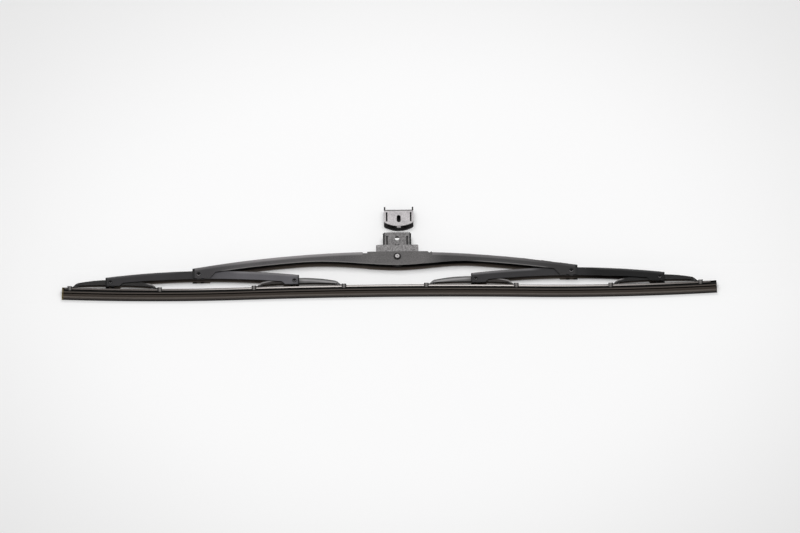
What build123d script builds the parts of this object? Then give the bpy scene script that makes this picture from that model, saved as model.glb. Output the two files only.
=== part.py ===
from build123d import *
from math import sqrt
import os

# A bracket wiper blade lying on its side, in millimetres.
# X runs along the blade, Y points away from the glass and Z points up from the table.
# The origin is the middle of the hub pin, and the blade is symmetric about Z = 0.

# Layout along the blade
BRIDGE_MIDDLE_X = -12.4
BRIDGE_HALF_SPAN = 184.7
YOKE_OUTER_ARM = 87.6
YOKE_INNER_ARM = 94.8
CLAW_OUTER_ARM = 40.2
CLAW_INNER_ARM = 49.0
STRIP_LENGTH = 648.5
STRIP_OVERHANG = 7.7
STRIP_CREST_HALF = 140.0
RAIL_LENGTH = 640.0
RAIL_SETBACK = 2.5

# Heights along Y, from the hub pin
BRIDGE_CROWN_Y = 7.2
YOKE_PIVOT_Y = -17.0
CLAW_PIVOT_Y = -24.0
LIP_EDGE_Y = -42.3
STRIP_CREST_RISE = 0.84
STRIP_CREST_R = 6000.0
STRIP_END_R = 2530.0

# Clearances
PIVOT_CLEARANCE = 0.05
SEAT_CLEARANCE = 0.05
RUNNING_CLEARANCE = 0.15
CLAW_CLEARANCE = 0.15
RAIL_CLEARANCE = 0.05
CAP_CLEARANCE = 0.2

# Main bridge: a pressed channel that is open towards the glass, with deeper ears at its ends
BRIDGE_WIDTH = 12.0
BRIDGE_SHEET = 1.0
BRIDGE_SHOULDER_R = 4.0
BRIDGE_INNER_CHAMFER = 1.5
BRIDGE_ARM_DEPTH = 9.0
BRIDGE_EAR_RISE = 8.5
BRIDGE_EAR_DROP = 4.5
BRIDGE_EAR_END = 6.1
BRIDGE_EAR_REAR = 11.0
BRIDGE_EAR_STEP = 6.0

# Hub: the stretch round the pin, with deeper walls that stand further apart and no web
HUB_WIDTH = 13.0
HUB_TOP = 5.6
HUB_BOTTOM = 9.05
HUB_FLANK_X = 27.0
HUB_FLANK_Y = -7.55
HUB_TAIL_X = 42.0
HUB_TAIL_Y = -6.05
HUB_SWEEP_LEFT = 98.0
HUB_SWEEP_RIGHT = 80.0
HUB_SLOT_HALF = 34.2
HUB_FLARE = 8.0
HUB_NOTCH_WIDTH = 4.4
HUB_NOTCH_DEPTH = 1.5

# Hub pin and the black collars that hold it
HUB_PIN_R = 2.3
HUB_PIN_PROUD = 1.5
COLLAR_R = 3.7
COLLAR_THICK = 0.6
COLLAR_BARREL_R = 3.0

# Rivets, which stand a little proud of the ears
BRIDGE_RIVET_R = 1.9
CLAW_RIVET_R = 1.4
RIVET_PROUD = 0.4

# Yokes: pressed channels, each on one of the bridge's rivets
YOKE_SHEET = 0.9
YOKE_SHOULDER = 1.1
YOKE_APEX_RISE = 4.8
YOKE_APEX_DEPTH = 8.9
YOKE_OUTER_RISE = 5.5
YOKE_INNER_RISE = 6.4
YOKE_UNDER_DROP = 0.8
YOKE_EAR_DROP = 3.9
YOKE_EAR_END = 4.7
YOKE_EAR_REAR = 9.0
YOKE_EAR_STEP = 3.5

# Plastic saddles that sit on a yoke's back, between it and the ear that carries it
YOKE_SADDLE_WALL = 0.75
YOKE_SADDLE_ROOF = 0.4
YOKE_SADDLE_EDGE = 0.8
CLAW_SADDLE_WALL = 0.5
CLAW_SADDLE_ROOF = 0.4
CLAW_SADDLE_EDGE = 0.6
SADDLE_ROOF_CLEARANCE = 0.1
SADDLE_SETBACK = 0.8
SADDLE_DROP = 0.6

# Claw yokes: small channels whose solid legs bend down to a claw at each end
CLAW_SHEET = 0.7
CLAW_APEX_RISE = 3.2
CLAW_APEX_DEPTH = 5.4
CLAW_ARM_FALL = 4.2
CLAW_ARM_DEPTH = 2.4
CLAW_LEG_RUN = 7.0
CLAW_LEG_THICK = 1.5
CLAW_BEND_R = 8.0
CLAW_FOOT_R = 1.0
CLAW_CHANNEL_END = 2.0
CLAW_LENGTH = 4.6
CLAW_LIP = 1.0
CLAW_CORNER = 0.7

# Rubber strip: section heights from the lip's edge up, and half widths
LIP_HEIGHT = 2.1
LIP_HALF = 0.45
WEDGE_FOOT_HALF = 1.1
WEDGE_HEIGHT = 3.4
WEDGE_EDGE = 0.6
WEDGE_HALF = 2.9
NECK_HEIGHT = 0.9
NECK_HALF = 0.7
RIB_HEIGHT = 2.1
RIB_HALF = 3.1
RECESS_HEIGHT = 1.15
RECESS_HALF = 2.2
GROOVE_HALF = 1.2
HEAD_HEIGHT = 1.0
HEAD_HALF = 2.4

# Steel rails in the strip's grooves
RAIL_THICK = 1.8
RAIL_WIDTH = 2.6

# Arm adapter: a moulded base that turns on the hub pin, and a hollow tongue
ADAPTER_BASE_HALF = 21.0
ADAPTER_BASE_TOP = 13.6
ADAPTER_BASE_BOTTOM = 4.0
ADAPTER_CORNER_R = 1.2
ADAPTER_BOSS_R = 6.5
ADAPTER_SIDE_CLEARANCE = 0.3
TONGUE_HALF = 12.9
TONGUE_TOP = 27.8
TONGUE_CROWN = 0.15
TONGUE_THICK = 8.4
TONGUE_PLATE = 2.0
TONGUE_WALL = 2.0
GUIDE_HALF = 14.0
GUIDE_THICK = 6.6
ARM_HOLE_R = 2.35
ARM_HOLE_Y = 21.4
PIP_Y = 15.2
PIP_R = 1.7
PIP_PROUD = 0.7
GRIP_SLOT_X = 10.0
GRIP_SLOT_Y = 18.2
GRIP_SLOT_WIDTH = 1.7
GRIP_SLOT_LENGTH = 11.4
GRIP_SLOT_DEPTH = 1.6

# Cap: a pocket for the adapter's tongue, lying taken off on the table
CAP_X = 1.9
CAP_MOUTH_Y = 35.2
CAP_MOUTH_BOW = 4.4
CAP_LENGTH = 18.3
CAP_PRONG = 2.6
CAP_SIDE_WALL = 1.5
CAP_FACE = 1.5
CAP_BACK_WALL = 1.4
CAP_BACK_STEP = 1.2
CAP_BACK_STEP_DEPTH = 1.2
CAP_SLOT_X = 11.9
CAP_SLOT_WIDTH = 1.2
CAP_SLOT_LENGTH = 9.8
CAP_SLOT_FROM_MOUTH = 10.0
CAP_KEYHOLE_WIDTH = 4.0
CAP_KEYHOLE_LENGTH = 8.0
CAP_KEYHOLE_FROM_MOUTH = 8.0
CAP_TAB_WIDTH = 3.8
CAP_TAB_LENGTH = 2.4
CAP_TAB_PROUD = 0.8
CAP_TAB_THICK = 1.0

# Half widths across the blade, each channel sitting inside the one before
bridge_half_z = BRIDGE_WIDTH / 2
bridge_inner_z = bridge_half_z - BRIDGE_SHEET
hub_half_z = HUB_WIDTH / 2
hub_inner_z = hub_half_z - BRIDGE_SHEET
yoke_saddle_z = bridge_inner_z - RUNNING_CLEARANCE
yoke_half_z = yoke_saddle_z - YOKE_SADDLE_WALL - SEAT_CLEARANCE
yoke_inner_z = yoke_half_z - YOKE_SHEET
claw_saddle_z = yoke_inner_z - RUNNING_CLEARANCE
claw_yoke_half_z = claw_saddle_z - CLAW_SADDLE_WALL - SEAT_CLEARANCE
claw_yoke_inner_z = claw_yoke_half_z - CLAW_SHEET

# Levels of the strip's section and of the claws that hold it
lip_top_y = LIP_EDGE_Y + LIP_HEIGHT
wedge_top_y = lip_top_y + WEDGE_HEIGHT
rib_bottom_y = wedge_top_y + NECK_HEIGHT
rib_top_y = rib_bottom_y + RIB_HEIGHT
groove_bottom_y = rib_top_y + RECESS_HEIGHT
rail_bottom_y = groove_bottom_y + RAIL_CLEARANCE
rail_top_y = rail_bottom_y + RAIL_THICK
groove_top_y = rail_top_y + RAIL_CLEARANCE
head_top_y = groove_top_y + HEAD_HEIGHT
rail_inner_z = GROOVE_HALF + RAIL_CLEARANCE
rail_outer_z = rail_inner_z + RAIL_WIDTH
claw_plate_y = head_top_y + CLAW_CLEARANCE
claw_top_y = claw_plate_y + CLAW_SHEET
claw_lip_y = rail_bottom_y - CLAW_CLEARANCE
claw_foot_y = claw_lip_y - CLAW_SHEET
claw_inner_z = rail_outer_z + CLAW_CLEARANCE
claw_outer_z = claw_inner_z + CLAW_SHEET

# Circle of the bridge's arched top, through its crown and over its rivets
bridge_sagitta = BRIDGE_CROWN_Y - YOKE_PIVOT_Y - BRIDGE_EAR_RISE
bridge_radius = (BRIDGE_HALF_SPAN**2 + bridge_sagitta**2) / (2 * bridge_sagitta)

left_claw_x = BRIDGE_MIDDLE_X - BRIDGE_HALF_SPAN - YOKE_OUTER_ARM - CLAW_OUTER_ARM
strip_start_x = left_claw_x - STRIP_OVERHANG
rail_start_x = strip_start_x + RAIL_SETBACK
table_z = -(hub_half_z + HUB_PIN_PROUD)
deep = 4 * BRIDGE_WIDTH

os.makedirs("parts", exist_ok=True)


def outward_plane(side, distance, y, slope=0.0):
    """Side-view plane at a distance from the bridge's middle, with x pointing to the blade's end."""
    origin = (BRIDGE_MIDDLE_X + side * distance, y, 0)
    return Plane(origin=origin, x_dir=(side, slope, 0), z_dir=(0, 0, side))


def strip_rise(distance):
    """Rise of the relaxed strip, which arches over the middle and curls up towards both ends."""
    sink = STRIP_CREST_R - STRIP_CREST_RISE
    if distance <= STRIP_CREST_HALF:
        return sqrt(STRIP_CREST_R**2 - distance**2) - sink
    joint_sine = STRIP_CREST_HALF / STRIP_CREST_R
    joint_cosine = sqrt(1 - joint_sine**2)
    centre = STRIP_CREST_HALF + STRIP_END_R * joint_sine
    level = (STRIP_CREST_R + STRIP_END_R) * joint_cosine - sink
    return level - sqrt(STRIP_END_R**2 - (distance - centre) ** 2)


def strip_line(start_x, end_x):
    """Three smooth arcs along the strip's back between two places on the blade."""
    joints = (BRIDGE_MIDDLE_X - STRIP_CREST_HALF, BRIDGE_MIDDLE_X + STRIP_CREST_HALF)
    stations = (start_x, joints[0], joints[1], end_x)
    with BuildLine() as line:
        for start, end in zip(stations, stations[1:]):
            places = (start, (start + end) / 2, end)
            points = [(x, head_top_y + strip_rise(abs(x - BRIDGE_MIDDLE_X))) for x in places]
            ThreePointArc(*points)
    return line.line


def strip_section_plane(line):
    """Plane across the strip at the start of its line, with the height above the line first."""
    along = line % 0
    return Plane(origin=line @ 0, x_dir=(-along.Y, along.X, 0), z_dir=along)


def claw_seat(distance):
    """Height and slope of a claw yoke whose two claws hold the strip where it runs."""
    outer_rise = strip_rise(distance + CLAW_OUTER_ARM)
    inner_rise = strip_rise(distance - CLAW_INNER_ARM)
    slope = (outer_rise - inner_rise) / (CLAW_OUTER_ARM + CLAW_INNER_ARM)
    return outer_rise - slope * CLAW_OUTER_ARM, slope


def shoulder_edges(builder, half_z):
    """Edges where the upper faces of a channel meet its two walls."""
    upper = [face for face in builder.faces() if face.normal_at().Y > 0.3]
    edges = ShapeList(edge for face in upper for edge in face.edges())
    return edges.filter_by(lambda edge: abs(abs(edge.center().Z) - half_z) < 0.01)


def arch(start_x, end_x, drop=0.0):
    """Stretch of an arc parallel to the bridge's arched top, lowered by a drop."""
    stations = (start_x, (start_x + end_x) / 2, end_x)
    heights = [sqrt(bridge_radius**2 - (x - BRIDGE_MIDDLE_X) ** 2) for x in stations]
    crown_y = BRIDGE_CROWN_Y - bridge_radius - drop
    return ThreePointArc(*[(x, crown_y + height) for x, height in zip(stations, heights)])


def bridge_side():
    """Side outline of the bridge: arch, ears, and arms that swell into the deeper hub."""
    end = BRIDGE_HALF_SPAN + BRIDGE_EAR_END
    ear_rear = BRIDGE_HALF_SPAN - BRIDGE_EAR_REAR
    ear_step = ear_rear - BRIDGE_EAR_STEP
    ear_y = YOKE_PIVOT_Y - BRIDGE_EAR_DROP
    with BuildSketch() as side_view:
        with BuildLine():
            top = arch(BRIDGE_MIDDLE_X - end, BRIDGE_MIDDLE_X + end)
            left_arm = arch(BRIDGE_MIDDLE_X - ear_step, -HUB_SWEEP_LEFT, BRIDGE_ARM_DEPTH)
            right_arm = arch(HUB_SWEEP_RIGHT, BRIDGE_MIDDLE_X + ear_step, BRIDGE_ARM_DEPTH)
            Spline(
                left_arm @ 1,
                (-HUB_TAIL_X, HUB_TAIL_Y),
                (-HUB_FLANK_X, HUB_FLANK_Y),
                (0, -HUB_BOTTOM),
                (HUB_FLANK_X, HUB_FLANK_Y),
                (HUB_TAIL_X, HUB_TAIL_Y),
                right_arm @ 0,
                tangents=(left_arm % 1, right_arm % 0),
            )
            for side, top_end, arm_end in ((-1, top @ 0, left_arm @ 0), (1, top @ 1, right_arm @ 1)):
                ear_end = (BRIDGE_MIDDLE_X + side * end, ear_y)
                ear_foot = (BRIDGE_MIDDLE_X + side * ear_rear, ear_y)
                Polyline(top_end, ear_end, ear_foot, arm_end)
        make_face()
    return side_view.sketch


def hub_plan(half_z):
    """Plan outline between the hub's walls, which close in to the arms' width at both ends."""
    flat = HUB_SLOT_HALF - HUB_FLARE
    arm_z = half_z - (HUB_WIDTH - BRIDGE_WIDTH) / 2
    with BuildSketch(Plane.XZ) as plan:
        with BuildLine():
            Polyline((0, half_z), (flat, half_z), (HUB_SLOT_HALF, arm_z), (HUB_SLOT_HALF, 0))
            mirror(about=Plane.XZ)
            mirror(about=Plane.YZ)
        make_face()
    return plan.sketch


# Inside of the bridge's channel
with BuildPart() as bridge_cavity:
    with BuildSketch():
        with BuildLine():
            reach = BRIDGE_HALF_SPAN + 2 * BRIDGE_EAR_END
            roof = arch(BRIDGE_MIDDLE_X - reach, BRIDGE_MIDDLE_X + reach, BRIDGE_SHEET)
            Polyline(roof @ 1, roof @ 1 - (0, deep), roof @ 0 - (0, deep), roof @ 0)
        make_face()
    extrude(amount=bridge_inner_z, both=True)
    chamfer(shoulder_edges(bridge_cavity, bridge_inner_z), BRIDGE_INNER_CHAMFER)

# Hub as a solid block, wider than the arms
with BuildPart() as hub_block:
    extrude(bridge_side(), amount=hub_half_z, both=True)
    extrude(hub_plan(hub_half_z), amount=deep, both=True, mode=Mode.INTERSECT)

# Main bridge: the arched channel, the hub opened between its walls, notches and pivot holes
with BuildPart() as main_bridge:
    extrude(bridge_side(), amount=bridge_half_z, both=True)
    fillet(shoulder_edges(main_bridge, bridge_half_z), BRIDGE_SHOULDER_R)
    add(hub_block.part)
    add(bridge_cavity.part, mode=Mode.SUBTRACT)
    extrude(hub_plan(hub_inner_z), amount=deep, both=True, mode=Mode.SUBTRACT)
    with BuildSketch():
        with Locations((0, HUB_TOP)):
            Rectangle(2 * HUB_SLOT_HALF, deep, align=(Align.CENTER, Align.MIN))
        notch_y = HUB_TOP - HUB_NOTCH_DEPTH
        with Locations((-HUB_SLOT_HALF, notch_y)):
            Rectangle(HUB_NOTCH_WIDTH, deep, align=(Align.MIN, Align.MIN))
        with BuildLine():
            notch_start = (HUB_SLOT_HALF - HUB_NOTCH_WIDTH, HUB_TOP)
            notch_foot = (HUB_SLOT_HALF - HUB_NOTCH_WIDTH / 2, notch_y)
            Polyline(notch_start, notch_foot, (HUB_SLOT_HALF, HUB_TOP), close=True)
        make_face()
    extrude(amount=hub_half_z, both=True, mode=Mode.SUBTRACT)
    with BuildSketch():
        Circle(COLLAR_BARREL_R + SEAT_CLEARANCE)
        with Locations((BRIDGE_MIDDLE_X, YOKE_PIVOT_Y)):
            with GridLocations(2 * BRIDGE_HALF_SPAN, 0, 2, 1):
                Circle(BRIDGE_RIVET_R + SEAT_CLEARANCE)
    extrude(amount=hub_half_z, both=True, mode=Mode.SUBTRACT)
main_bridge.part.label = "main_bridge"
export_step(main_bridge.part, "parts/main_bridge.step")

# Hub pin, through both walls and the adapter
with BuildPart() as hub_pin:
    Cylinder(HUB_PIN_R, 2 * (hub_half_z + HUB_PIN_PROUD))
hub_pin.part.label = "hub_pin"
export_step(hub_pin.part, "parts/hub_pin.step")

# Black collars: a barrel in each of the hub's walls, with a flange outside
for name, wall in {"hub_bush_front": 1, "hub_bush_back": -1}.items():
    with BuildPart() as hub_bush:
        with BuildSketch(Plane.XY.offset(wall * hub_inner_z)):
            Circle(COLLAR_BARREL_R)
        extrude(amount=wall * (BRIDGE_SHEET + COLLAR_THICK))
        with BuildSketch(Plane.XY.offset(wall * hub_half_z)):
            Circle(COLLAR_R)
        extrude(amount=wall * COLLAR_THICK)
        Hole(HUB_PIN_R + SEAT_CLEARANCE)
    hub_bush.part.label = name
    export_step(hub_bush.part, f"parts/{name}.step")


def saddle_side(plane, half_length, rise, drop):
    """Side outline of a saddle, of the room for the yoke inside it, or of the slot for its rivet."""
    with BuildSketch(plane) as outline:
        with Locations((0, -drop)):
            Rectangle(2 * half_length, rise + drop, align=(Align.CENTER, Align.MIN))
    return outline.sketch


# Left and right: the bridge's rivet, the yoke that rocks on it and the saddle on the yoke's back
outer_distance = BRIDGE_HALF_SPAN + YOKE_OUTER_ARM
inner_distance = BRIDGE_HALF_SPAN - YOKE_INNER_ARM
outer_height, outer_slope = claw_seat(outer_distance)
inner_height, inner_slope = claw_seat(inner_distance)
for name, side in {"left": -1, "right": 1}.items():
    yoke_plane = outward_plane(side, BRIDGE_HALF_SPAN, YOKE_PIVOT_Y)

    with BuildPart() as bridge_rivet:
        with BuildSketch(yoke_plane):
            Circle(BRIDGE_RIVET_R)
        extrude(amount=bridge_half_z + RIVET_PROUD, both=True)
    bridge_rivet.part.label = f"bridge_rivet_{name}"
    export_step(bridge_rivet.part, f"parts/bridge_rivet_{name}.step")

    with BuildPart() as yoke:
        outer_dy = CLAW_PIVOT_Y + outer_height - YOKE_PIVOT_Y
        inner_dy = CLAW_PIVOT_Y + inner_height - YOKE_PIVOT_Y
        outer_end = YOKE_OUTER_ARM + YOKE_EAR_END
        inner_end = -YOKE_INNER_ARM - YOKE_EAR_END
        outer_top = outer_dy + YOKE_OUTER_RISE
        inner_top = inner_dy + YOKE_INNER_RISE
        with BuildSketch(yoke_plane):
            outer_ear = YOKE_OUTER_ARM - YOKE_EAR_REAR
            inner_ear = -YOKE_INNER_ARM + YOKE_EAR_REAR
            with BuildLine():
                top = ThreePointArc((inner_end, inner_top), (0, YOKE_APEX_RISE), (outer_end, outer_top))
                under = ThreePointArc(
                    (inner_ear + YOKE_EAR_STEP, inner_dy - YOKE_UNDER_DROP),
                    (0, YOKE_APEX_RISE - YOKE_APEX_DEPTH),
                    (outer_ear - YOKE_EAR_STEP, outer_dy - YOKE_UNDER_DROP),
                )
                outer_ear_y = outer_dy - YOKE_EAR_DROP
                inner_ear_y = inner_dy - YOKE_EAR_DROP
                Polyline(top @ 1, (outer_end, outer_ear_y), (outer_ear, outer_ear_y), under @ 1)
                Polyline(top @ 0, (inner_end, inner_ear_y), (inner_ear, inner_ear_y), under @ 0)
            make_face()
        extrude(amount=yoke_half_z, both=True)
        chamfer(shoulder_edges(yoke, yoke_half_z), YOKE_SHOULDER)
        with BuildSketch(yoke_plane):
            with BuildLine():
                roof_start = (inner_end, inner_top - YOKE_SHEET)
                roof_end = (outer_end, outer_top - YOKE_SHEET)
                roof = ThreePointArc(roof_start, (0, YOKE_APEX_RISE - YOKE_SHEET), roof_end)
                Polyline(roof @ 1, (outer_end, -deep), (inner_end, -deep), roof @ 0)
            make_face()
        extrude(amount=yoke_inner_z, both=True, mode=Mode.SUBTRACT)
        with BuildSketch(yoke_plane):
            Circle(BRIDGE_RIVET_R + PIVOT_CLEARANCE)
            with Locations((YOKE_OUTER_ARM, outer_dy), (-YOKE_INNER_ARM, inner_dy)):
                Circle(CLAW_RIVET_R + SEAT_CLEARANCE)
        extrude(amount=yoke_half_z, both=True, mode=Mode.SUBTRACT)
    yoke.part.label = f"yoke_{name}"
    export_step(yoke.part, f"parts/yoke_{name}.step")

    with BuildPart() as yoke_bush:
        half_length = BRIDGE_EAR_END - SADDLE_SETBACK
        seat_y = YOKE_APEX_RISE + SADDLE_ROOF_CLEARANCE
        drop = BRIDGE_EAR_DROP + SADDLE_DROP
        outside = saddle_side(yoke_plane, half_length, seat_y + YOKE_SADDLE_ROOF, drop)
        inside = saddle_side(yoke_plane, half_length, seat_y, drop)
        extrude(outside, amount=yoke_saddle_z, both=True)
        chamfer(shoulder_edges(yoke_bush, yoke_saddle_z), YOKE_SADDLE_EDGE)
        extrude(inside, amount=yoke_half_z + SEAT_CLEARANCE, both=True, mode=Mode.SUBTRACT)
        slot_half = BRIDGE_RIVET_R + PIVOT_CLEARANCE
        slot = saddle_side(yoke_plane, slot_half, slot_half, drop)
        extrude(slot, amount=yoke_saddle_z, both=True, mode=Mode.SUBTRACT)
    yoke_bush.part.label = f"yoke_bush_{name}"
    export_step(yoke_bush.part, f"parts/yoke_bush_{name}.step")


def claw_leg(sign, length):
    """Side outline of a leg: down at 45 degrees from the slender arm, then flat over the strip."""
    arm_x = length - CLAW_LEG_RUN
    arm_y = CLAW_APEX_RISE - CLAW_ARM_FALL
    under_y = arm_y - CLAW_ARM_DEPTH
    top_y = claw_top_y - CLAW_PIVOT_Y
    plate_y = claw_plate_y - CLAW_PIVOT_Y
    tip_x = length + CLAW_LENGTH / 2
    foot_x = arm_x + arm_y - top_y
    heel_x = foot_x - CLAW_LEG_THICK * sqrt(2)
    upper = [(arm_x, arm_y), (foot_x, top_y), (tip_x, top_y)]
    lower = [(tip_x, plate_y), (heel_x + CLAW_SHEET, plate_y), (heel_x + top_y - under_y, under_y)]
    return Polyline(*[(sign * x, y) for x, y in upper + lower])


def claw_section(plane, reach):
    """Section of a claw across the strip: a plate, two walls and two lips under the rails."""
    height = claw_top_y - claw_foot_y
    foot = claw_foot_y - CLAW_PIVOT_Y
    lip = claw_lip_y - CLAW_PIVOT_Y
    origin = plane.from_local_coords((reach - CLAW_LENGTH / 2, 0, 0))
    with BuildSketch(Plane(origin=origin, x_dir=plane.y_dir, z_dir=plane.x_dir)) as section:
        with Locations((foot, 0)):
            Rectangle(height, 2 * claw_outer_z, align=(Align.MIN, Align.CENTER))
        chamfer(section.vertices(), CLAW_CORNER)
        with Locations((lip, 0)):
            room = (claw_plate_y - claw_lip_y, 2 * claw_inner_z)
            mouth = (height, 2 * (claw_inner_z - CLAW_LIP))
            Rectangle(*room, align=(Align.MIN, Align.CENTER), mode=Mode.SUBTRACT)
            Rectangle(*mouth, align=(Align.MAX, Align.CENTER), mode=Mode.SUBTRACT)
    return section.sketch


# Four claw yokes, counted from the left: each with its rivet, its saddle and a claw at both ends
outer_place = (outer_distance, CLAW_PIVOT_Y + outer_height, outer_slope)
inner_place = (inner_distance, CLAW_PIVOT_Y + inner_height, inner_slope)
claw_places = ((-1, outer_place), (-1, inner_place), (1, inner_place), (1, outer_place))
for number, (side, place) in enumerate(claw_places, start=1):
    claw_plane = outward_plane(side, *place)

    with BuildPart() as claw_rivet:
        with BuildSketch(claw_plane):
            Circle(CLAW_RIVET_R)
        extrude(amount=yoke_half_z + RIVET_PROUD, both=True)
    claw_rivet.part.label = f"claw_rivet_{number}"
    export_step(claw_rivet.part, f"parts/claw_rivet_{number}.step")

    with BuildPart() as claw_yoke:
        with BuildSketch(claw_plane) as claw_side:
            with BuildLine():
                outer_leg = claw_leg(1, CLAW_OUTER_ARM)
                inner_leg = claw_leg(-1, CLAW_INNER_ARM)
                ThreePointArc(inner_leg @ 0, (0, CLAW_APEX_RISE), outer_leg @ 0)
                waist = (0, CLAW_APEX_RISE - CLAW_APEX_DEPTH)
                ThreePointArc(inner_leg @ 1, waist, outer_leg @ 1)
            make_face()
            plate_corners = claw_side.vertices().group_by(Axis.Y)[1].sort_by(Axis.X)
            fillet(plate_corners[1:-1], CLAW_FOOT_R)
            fillet(claw_side.vertices().group_by(Axis.Y)[-1], CLAW_BEND_R)
        extrude(amount=claw_yoke_half_z, both=True)
        with BuildSketch(claw_plane):
            with BuildLine():
                end_shift = CLAW_LEG_RUN + CLAW_CHANNEL_END
                roof_y = CLAW_APEX_RISE - CLAW_SHEET
                roof_start = (CLAW_OUTER_ARM - end_shift, roof_y - CLAW_ARM_FALL)
                roof_end = (end_shift - CLAW_INNER_ARM, roof_y - CLAW_ARM_FALL)
                roof = ThreePointArc(roof_start, (0, roof_y), roof_end)
                Polyline(roof @ 0, roof @ 0 - (0, deep), roof @ 1 - (0, deep), roof @ 1)
            make_face()
        extrude(amount=claw_yoke_inner_z, both=True, mode=Mode.SUBTRACT)
        with BuildSketch(claw_plane):
            Circle(CLAW_RIVET_R + PIVOT_CLEARANCE)
        extrude(amount=claw_yoke_half_z, both=True, mode=Mode.SUBTRACT)
        for reach in (CLAW_OUTER_ARM, -CLAW_INNER_ARM):
            extrude(claw_section(claw_plane, reach), amount=CLAW_LENGTH)
    claw_yoke.part.label = f"claw_yoke_{number}"
    export_step(claw_yoke.part, f"parts/claw_yoke_{number}.step")

    with BuildPart() as claw_bush:
        half_length = YOKE_EAR_END - SADDLE_SETBACK
        seat_y = CLAW_APEX_RISE + SADDLE_ROOF_CLEARANCE
        drop = YOKE_EAR_DROP + SADDLE_DROP
        outside = saddle_side(claw_plane, half_length, seat_y + CLAW_SADDLE_ROOF, drop)
        inside = saddle_side(claw_plane, half_length, seat_y, drop)
        extrude(outside, amount=claw_saddle_z, both=True)
        chamfer(shoulder_edges(claw_bush, claw_saddle_z), CLAW_SADDLE_EDGE)
        extrude(inside, amount=claw_yoke_half_z + SEAT_CLEARANCE, both=True, mode=Mode.SUBTRACT)
        slot_half = CLAW_RIVET_R + PIVOT_CLEARANCE
        slot = saddle_side(claw_plane, slot_half, slot_half, drop)
        extrude(slot, amount=claw_saddle_z, both=True, mode=Mode.SUBTRACT)
    claw_bush.part.label = f"claw_bush_{number}"
    export_step(claw_bush.part, f"parts/claw_bush_{number}.step")

# Rubber strip: head, groove, rib, thin neck, wedge and wiping lip, drawn as one half section
with BuildPart() as rubber_strip:
    strip_back = strip_line(strip_start_x, strip_start_x + STRIP_LENGTH)
    with BuildSketch(strip_section_plane(strip_back)):
        half_section = (
            (LIP_EDGE_Y, 0),
            (LIP_EDGE_Y, LIP_HALF),
            (lip_top_y, LIP_HALF),
            (lip_top_y, WEDGE_FOOT_HALF),
            (wedge_top_y - WEDGE_EDGE, WEDGE_HALF),
            (wedge_top_y, WEDGE_HALF),
            (wedge_top_y, NECK_HALF),
            (rib_bottom_y, NECK_HALF),
            (rib_bottom_y, RIB_HALF),
            (rib_top_y, RIB_HALF),
            (rib_top_y, RECESS_HALF),
            (groove_bottom_y, RECESS_HALF),
            (groove_bottom_y, GROOVE_HALF),
            (groove_top_y, GROOVE_HALF),
            (groove_top_y, HEAD_HALF),
            (head_top_y, HEAD_HALF),
            (head_top_y, 0),
        )
        with BuildLine():
            Polyline(*[(y - head_top_y, z) for y, z in half_section])
            mirror(about=Plane.XZ)
        make_face()
    sweep(path=strip_back)
rubber_strip.part.label = "rubber_strip"
export_step(rubber_strip.part, "parts/rubber_strip.step")

# Spring-steel rails, one in each of the strip's grooves
for name, groove in {"rail_front": 1, "rail_back": -1}.items():
    with BuildPart() as rail:
        rail_line = strip_line(rail_start_x, rail_start_x + RAIL_LENGTH)
        with BuildSketch(strip_section_plane(rail_line)):
            rail_y = (rail_bottom_y + rail_top_y) / 2 - head_top_y
            rail_z = (rail_inner_z + rail_outer_z) / 2
            with Locations((rail_y, groove * rail_z)):
                Rectangle(RAIL_THICK, RAIL_WIDTH)
        sweep(path=rail_line)
    rail.part.label = name
    export_step(rail.part, f"parts/{name}.step")

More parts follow.
